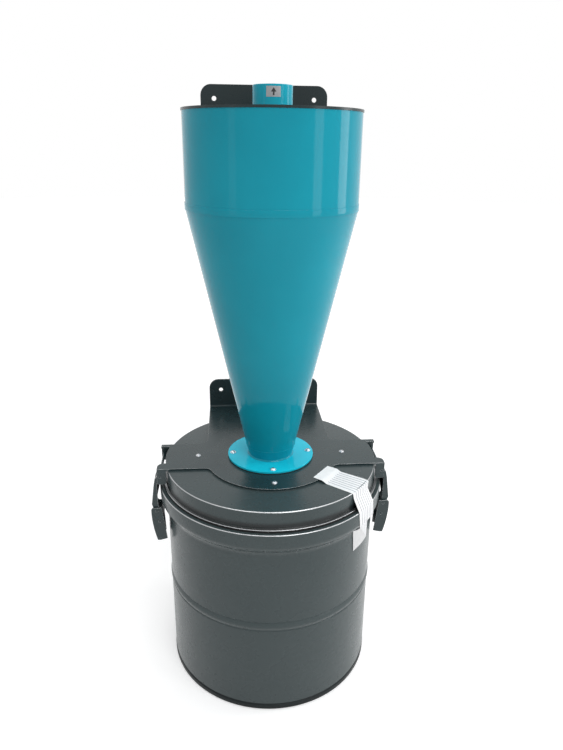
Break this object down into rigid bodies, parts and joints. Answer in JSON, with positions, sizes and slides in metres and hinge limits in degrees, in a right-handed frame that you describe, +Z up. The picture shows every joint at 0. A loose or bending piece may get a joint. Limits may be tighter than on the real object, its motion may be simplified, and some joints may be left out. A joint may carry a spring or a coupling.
{
  "type": "cyclone pre-separator",
  "caption": "Conical dust separator on a latched round bin, with a lid, a top outlet tube, a tangential inlet tube and wall brackets.",
  "frame": {"origin": "on the bin's axis at floor level", "axes": "+Z up along the cyclone's axis, +Y towards the wall, +X to the right seen from the front"},
  "size_m": [0.3634, 0.3605, 0.8785],
  "materials": {
    "teal_paint": "glossy enamel",
    "black_paint": "satin powder coat",
    "seal_rubber": "matt",
    "zinc_steel": "zinc plated"
  },
  "bodies": {
    "separator": {"bin_shell": "black_paint", "bin_bottom": "black_paint", "bin_chime": "black_paint", "bin_rim": "black_paint", "bin_lid": "black_paint", "lid_seal": "seal_rubber", "cyclone_cylinder": "teal_paint", "cyclone_cone": "teal_paint", "cone_neck": "teal_paint", "discharge_flange": "teal_paint", "flange_seal": "seal_rubber", "outlet_spigot": "teal_paint", "outlet_inner_tube": "teal_paint", "inlet_branch": "teal_paint", "inlet_spigot": "teal_paint", "upper_wall_bracket": "black_paint", "lower_wall_bracket": "black_paint", "left_hinge_rod": "black_paint", "right_hinge_rod": "black_paint"},
    "left_arm": {"left_latch_arm": "black_paint", "left_handle_pin": "zinc_steel"},
    "left_handle": {"left_latch_handle": "black_paint", "left_hook_pin": "zinc_steel", "left_latch_hook": "zinc_steel"},
    "right_arm": {"right_latch_arm": "black_paint", "right_handle_pin": "zinc_steel"},
    "right_handle": {"right_latch_handle": "black_paint", "right_hook_pin": "zinc_steel", "right_latch_hook": "zinc_steel"}
  },
  "joints": [
    {"name": "left_arm_swing", "type": "hinge", "parent": "separator", "child": "left_arm", "pos_m": [-0.1658, -0.02615, 0.334], "axis": [0, 1, 0], "range_deg": [0, 60]},
    {"name": "left_handle_swing", "type": "hinge", "parent": "left_arm", "child": "left_handle", "pos_m": [-0.1728, -0.02615, 0.276], "axis": [0, 1, 0], "range_deg": [0, 60]},
    {"name": "right_arm_swing", "type": "hinge", "parent": "separator", "child": "right_arm", "pos_m": [0.1658, -0.02615, 0.334], "axis": [0, -1, 0], "range_deg": [0, 60]},
    {"name": "right_handle_swing", "type": "hinge", "parent": "right_arm", "child": "right_handle", "pos_m": [0.1728, -0.02615, 0.276], "axis": [0, -1, 0], "range_deg": [0, 60]}
  ]
}
